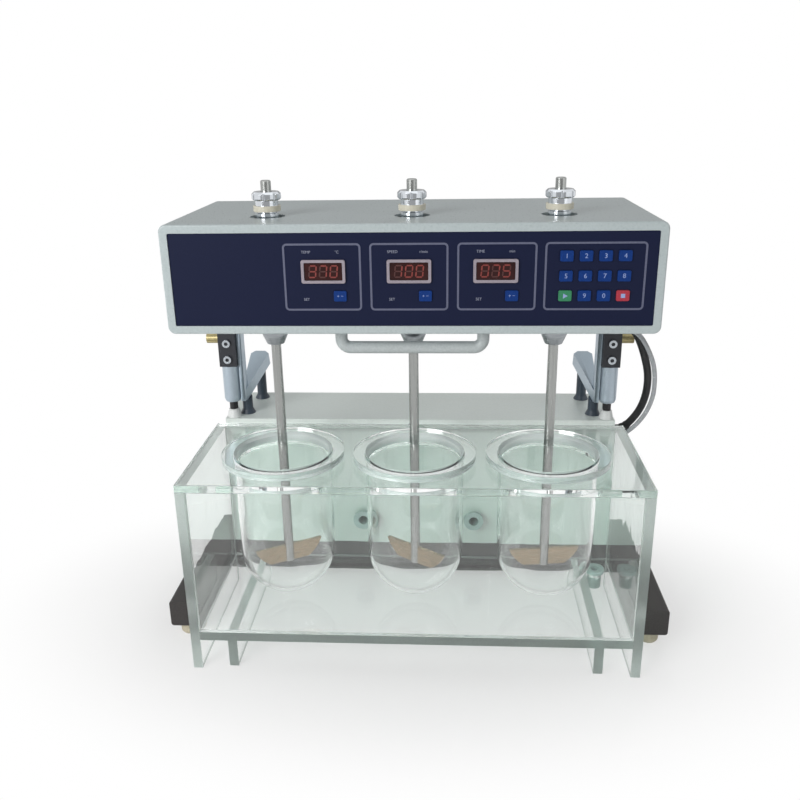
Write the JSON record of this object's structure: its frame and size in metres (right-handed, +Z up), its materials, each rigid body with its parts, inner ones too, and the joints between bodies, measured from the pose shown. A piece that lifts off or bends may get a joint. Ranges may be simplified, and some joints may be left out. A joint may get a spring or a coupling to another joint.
{
  "type": "dissolution tester",
  "caption": "Bench dissolution tester: a lifting drive head with paddle stirrers over glass vessels that hang in a clear heated water bath in front of a cabinet.",
  "frame": {"origin": "on the bench under the middle of the whole instrument's outline", "axes": "+Z up, front panel faces -Y, +X to the right of someone facing the panel"},
  "size_m": [0.552, 0.27, 0.502],
  "materials": {
    "black_paint": "satin",
    "foot_rubber": "matte",
    "cabinet_paint": "satin",
    "head_paint": "satin",
    "zinc_plate": "satin",
    "polished_steel": "polished",
    "stainless": "fine brushed",
    "black_plastic": "matte",
    "pump_plastic": "matte",
    "acrylic": "clear",
    "vessel_glass": "clear",
    "port_plastic": "translucent",
    "guide_alu": "satin anodised",
    "post_black": "satin",
    "mount_white": "satin",
    "panel_navy": "satin print film",
    "bezel": "satin silver",
    "display_red": "tinted clear",
    "board_green": "solder mask",
    "handle_paint": "satin",
    "bushing_steel": "turned",
    "motor_paint": "satin",
    "belt_rubber": "matte",
    "block_black": "black anodised",
    "cord_black": "satin",
    "tube_grey": "satin",
    "knob_brass": "turned",
    "key_blue": "satin",
    "key_green": "satin",
    "key_red": "satin"
  },
  "bodies": {
    "cabinet": {"base_frame": "black_paint", "feet": "foot_rubber", "cabinet_shell": "cabinet_paint", "cabinet_back": "cabinet_paint", "case_screws": "zinc_plate", "power_inlet": "black_plastic", "circulation_pump": "pump_plastic", "water_heater": "stainless", "bath_tank": "acrylic", "bath_ports": "port_plastic", "bath_lid": "acrylic", "vessels": "vessel_glass", "guide_brackets": "guide_alu", "guide_posts": "post_black", "lift_pillars": "polished_steel", "pillar_mounts": "mount_white", "cabinet_glands": "black_plastic", "signal_cable": "cord_black", "grey_tube": "tube_grey"},
    "head": {"head_shell": "head_paint", "head_base": "zinc_plate", "front_panel": "panel_navy", "display_bezels": "bezel", "display_windows": "display_red", "main_board": "board_green", "handle": "handle_paint", "spindle_bushings": "bushing_steel", "drive_motor": "motor_paint", "drive_belt": "belt_rubber", "slider_blocks": "block_black", "block_screws": "zinc_plate", "head_grommets": "cord_black"},
    "motor_rotor": {"motor_pulley": "stainless"},
    "power_switch": {"power_switch": "black_plastic"},
    "spindle_left": {"spindle_left": "stainless"},
    "chuck_nut_left": {"chuck_nut_left": "polished_steel"},
    "stirrer_left": {"stirrer_left": "stainless"},
    "spindle_mid": {"spindle_mid": "stainless"},
    "chuck_nut_mid": {"chuck_nut_mid": "polished_steel"},
    "stirrer_mid": {"stirrer_mid": "stainless"},
    "spindle_right": {"spindle_right": "stainless"},
    "chuck_nut_right": {"chuck_nut_right": "polished_steel"},
    "stirrer_right": {"stirrer_right": "stainless"},
    "lock_knob_left": {"lock_knob_left": "knob_brass"},
    "lock_knob_right": {"lock_knob_right": "knob_brass"},
    "button_left": {"button_left": "key_blue"},
    "button_mid": {"button_mid": "key_blue"},
    "button_right": {"button_right": "key_blue"},
    "key_1": {"key_1": "key_blue"},
    "key_2": {"key_2": "key_blue"},
    "key_3": {"key_3": "key_blue"},
    "key_4": {"key_4": "key_blue"},
    "key_5": {"key_5": "key_blue"},
    "key_6": {"key_6": "key_blue"},
    "key_7": {"key_7": "key_blue"},
    "key_8": {"key_8": "key_blue"},
    "key_9": {"key_9": "key_blue"},
    "key_0": {"key_0": "key_blue"},
    "key_start": {"key_start": "key_green"},
    "key_stop": {"key_stop": "key_red"}
  },
  "joints": [
    {"name": "head_lift", "type": "slide", "parent": "cabinet", "child": "head", "axis": [0, 0, 1], "range_m": [0, 0.08], "deforming": ["signal_cable", "grey_tube"]},
    {"name": "motor_spin", "type": "hinge", "parent": "head", "child": "motor_rotor", "pos_m": [0.07, -0.059, 0.445], "axis": [0, 0, 1], "continuous": true},
    {"name": "spindle_left_spin", "type": "hinge", "parent": "head", "child": "spindle_left", "pos_m": [-0.14, -0.059, 0.445], "axis": [0, 0, 1], "continuous": true},
    {"name": "chuck_nut_left_turn", "type": "hinge", "parent": "spindle_left", "child": "chuck_nut_left", "pos_m": [-0.14, -0.059, 0.487], "axis": [0, 0, 1], "range_deg": [0, 120]},
    {"name": "stirrer_left_raise", "type": "slide", "parent": "spindle_left", "child": "stirrer_left", "axis": [0, 0, 1], "range_m": [0, 0.15]},
    {"name": "spindle_mid_spin", "type": "hinge", "parent": "head", "child": "spindle_mid", "pos_m": [0, -0.059, 0.445], "axis": [0, 0, 1], "continuous": true},
    {"name": "chuck_nut_mid_turn", "type": "hinge", "parent": "spindle_mid", "child": "chuck_nut_mid", "pos_m": [0, -0.059, 0.487], "axis": [0, 0, 1], "range_deg": [0, 120]},
    {"name": "stirrer_mid_raise", "type": "slide", "parent": "spindle_mid", "child": "stirrer_mid", "axis": [0, 0, 1], "range_m": [0, 0.15]},
    {"name": "spindle_right_spin", "type": "hinge", "parent": "head", "child": "spindle_right", "pos_m": [0.14, -0.059, 0.445], "axis": [0, 0, 1], "continuous": true},
    {"name": "chuck_nut_right_turn", "type": "hinge", "parent": "spindle_right", "child": "chuck_nut_right", "pos_m": [0.14, -0.059, 0.487], "axis": [0, 0, 1], "range_deg": [0, 120]},
    {"name": "stirrer_right_raise", "type": "slide", "parent": "spindle_right", "child": "stirrer_right", "axis": [0, 0, 1], "range_m": [0, 0.15]},
    {"name": "lock_knob_left_turn", "type": "hinge", "parent": "head", "child": "lock_knob_left", "pos_m": [-0.228, 0.047, 0.317], "axis": [-1, 0, 0], "range_deg": [0, 180]},
    {"name": "lock_knob_right_turn", "type": "hinge", "parent": "head", "child": "lock_knob_right", "pos_m": [0.228, 0.047, 0.317], "axis": [1, 0, 0], "range_deg": [0, 180]},
    {"name": "button_left_press", "type": "slide", "parent": "head", "child": "button_left", "axis": [0, 1, 0], "range_m": [0, 0.001], "stiffness_N_per_m": 600},
    {"name": "button_mid_press", "type": "slide", "parent": "head", "child": "button_mid", "axis": [0, 1, 0], "range_m": [0, 0.001], "stiffness_N_per_m": 600},
    {"name": "button_right_press", "type": "slide", "parent": "head", "child": "button_right", "axis": [0, 1, 0], "range_m": [0, 0.001], "stiffness_N_per_m": 600},
    {"name": "key_1_press", "type": "slide", "parent": "head", "child": "key_1", "axis": [0, 1, 0], "range_m": [0, 0.001], "stiffness_N_per_m": 600},
    {"name": "key_2_press", "type": "slide", "parent": "head", "child": "key_2", "axis": [0, 1, 0], "range_m": [0, 0.001], "stiffness_N_per_m": 600},
    {"name": "key_3_press", "type": "slide", "parent": "head", "child": "key_3", "axis": [0, 1, 0], "range_m": [0, 0.001], "stiffness_N_per_m": 600},
    {"name": "key_4_press", "type": "slide", "parent": "head", "child": "key_4", "axis": [0, 1, 0], "range_m": [0, 0.001], "stiffness_N_per_m": 600},
    {"name": "key_5_press", "type": "slide", "parent": "head", "child": "key_5", "axis": [0, 1, 0], "range_m": [0, 0.001], "stiffness_N_per_m": 600},
    {"name": "key_6_press", "type": "slide", "parent": "head", "child": "key_6", "axis": [0, 1, 0], "range_m": [0, 0.001], "stiffness_N_per_m": 600},
    {"name": "key_7_press", "type": "slide", "parent": "head", "child": "key_7", "axis": [0, 1, 0], "range_m": [0, 0.001], "stiffness_N_per_m": 600},
    {"name": "key_8_press", "type": "slide", "parent": "head", "child": "key_8", "axis": [0, 1, 0], "range_m": [0, 0.001], "stiffness_N_per_m": 600},
    {"name": "key_9_press", "type": "slide", "parent": "head", "child": "key_9", "axis": [0, 1, 0], "range_m": [0, 0.001], "stiffness_N_per_m": 600},
    {"name": "key_0_press", "type": "slide", "parent": "head", "child": "key_0", "axis": [0, 1, 0], "range_m": [0, 0.001], "stiffness_N_per_m": 600},
    {"name": "key_start_press", "type": "slide", "parent": "head", "child": "key_start", "axis": [0, 1, 0], "range_m": [0, 0.001], "stiffness_N_per_m": 600},
    {"name": "key_stop_press", "type": "slide", "parent": "head", "child": "key_stop", "axis": [0, 1, 0], "range_m": [0, 0.001], "stiffness_N_per_m": 600},
    {"name": "power_switch_rock", "type": "hinge", "parent": "cabinet", "child": "power_switch", "pos_m": [-0.104, 0.1265, 0.11], "axis": [1, 0, 0], "range_deg": [0, 20]}
  ],
  "couplings": [
    {"joint": "spindle_left_spin", "follows": "motor_spin", "ratio": 1},
    {"joint": "spindle_mid_spin", "follows": "motor_spin", "ratio": 1},
    {"joint": "spindle_right_spin", "follows": "motor_spin", "ratio": 1}
  ]
}
